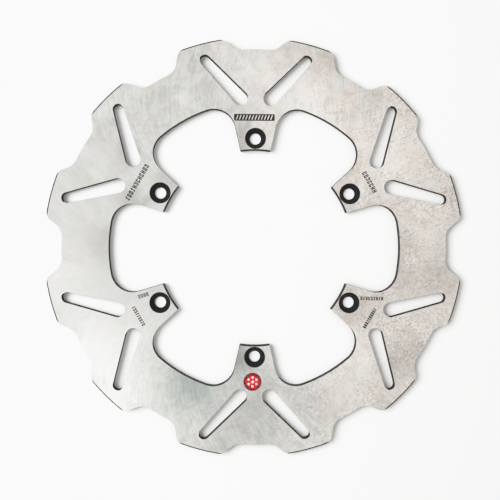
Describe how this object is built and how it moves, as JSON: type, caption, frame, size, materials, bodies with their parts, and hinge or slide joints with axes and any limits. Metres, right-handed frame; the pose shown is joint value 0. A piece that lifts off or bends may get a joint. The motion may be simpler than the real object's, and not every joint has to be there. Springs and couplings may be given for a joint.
{
  "type": "motorcycle brake disc",
  "caption": "Flat one-piece stainless brake disc with a wavy edge, tapered slots, inward mounting tabs with countersunk bolt holes and a small domed badge.",
  "frame": {"origin": "centre of the bolt circle, on the hub face of the disc", "axes": "+Z is the wheel axis and points out of the countersunk outer face; +X is the axis of one window, so the tabs lie at 30, 90, 150, 210, 270 and 330 degrees and the badge is by the tab at 270 degrees"},
  "size_m": [0.2364, 0.2364, 0.0062],
  "materials": {
    "ground_steel": "ground, with dark hardening scale left on the edges and in the countersinks",
    "white_foil": "satin",
    "red_print": "gloss",
    "clear_resin": "clear gloss"
  },
  "bodies": {
    "root": {"rotor": "ground_steel", "badge_foil": "white_foil", "badge_print": "red_print", "badge_dome": "clear_resin"}
  },
  "joints": []
}
